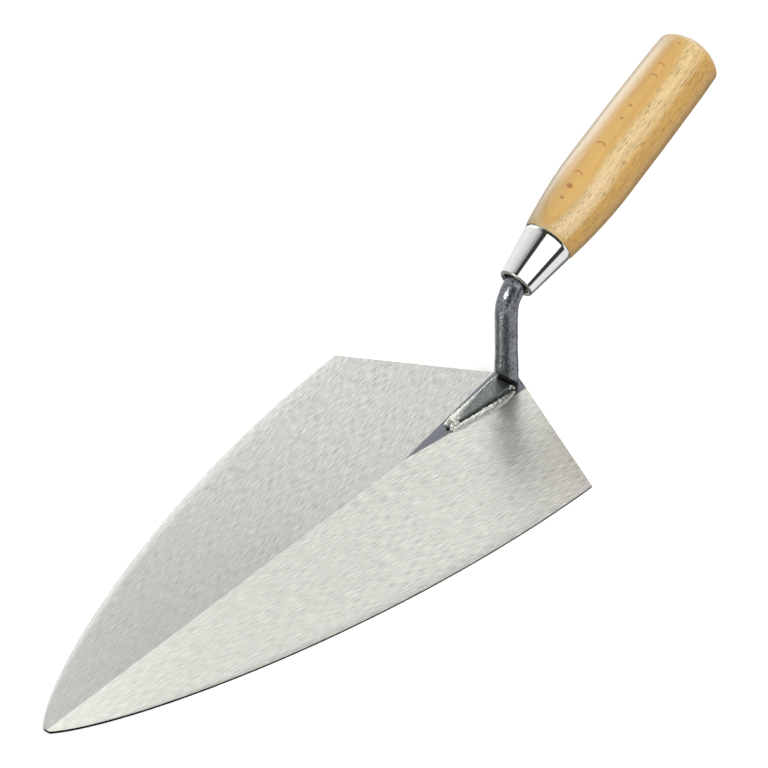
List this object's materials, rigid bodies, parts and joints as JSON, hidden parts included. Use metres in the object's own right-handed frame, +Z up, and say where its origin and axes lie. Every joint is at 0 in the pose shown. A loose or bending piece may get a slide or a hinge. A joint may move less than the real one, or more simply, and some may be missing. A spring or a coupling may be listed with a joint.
{
  "type": "brick trowel",
  "caption": "Brick trowel: kite-shaped steel blade with a low ridge, welded goose-neck shank, tapered chromed ferrule and turned wooden grip.",
  "frame": {"origin": "on the blade's flat underside, straight below the axis of the upright shank", "axes": "+X towards the blade's tip, +Z up out of the blade's top, +Y across the blade"},
  "size_m": [0.4028, 0.139, 0.1156],
  "materials": {
    "blade_steel": "ground satin, lightly brushed along each side",
    "shank_steel": "dark forged steel under clear lacquer",
    "weld_metal": "as welded, lacquered",
    "ferrule_chrome": "polished",
    "handle_wood": "beech, clear lacquer"
  },
  "bodies": {
    "root": {"blade": "blade_steel", "shank": "shank_steel", "weld_left": "weld_metal", "weld_right": "weld_metal", "weld_toe": "weld_metal", "ferrule": "ferrule_chrome", "handle": "handle_wood"}
  },
  "joints": []
}
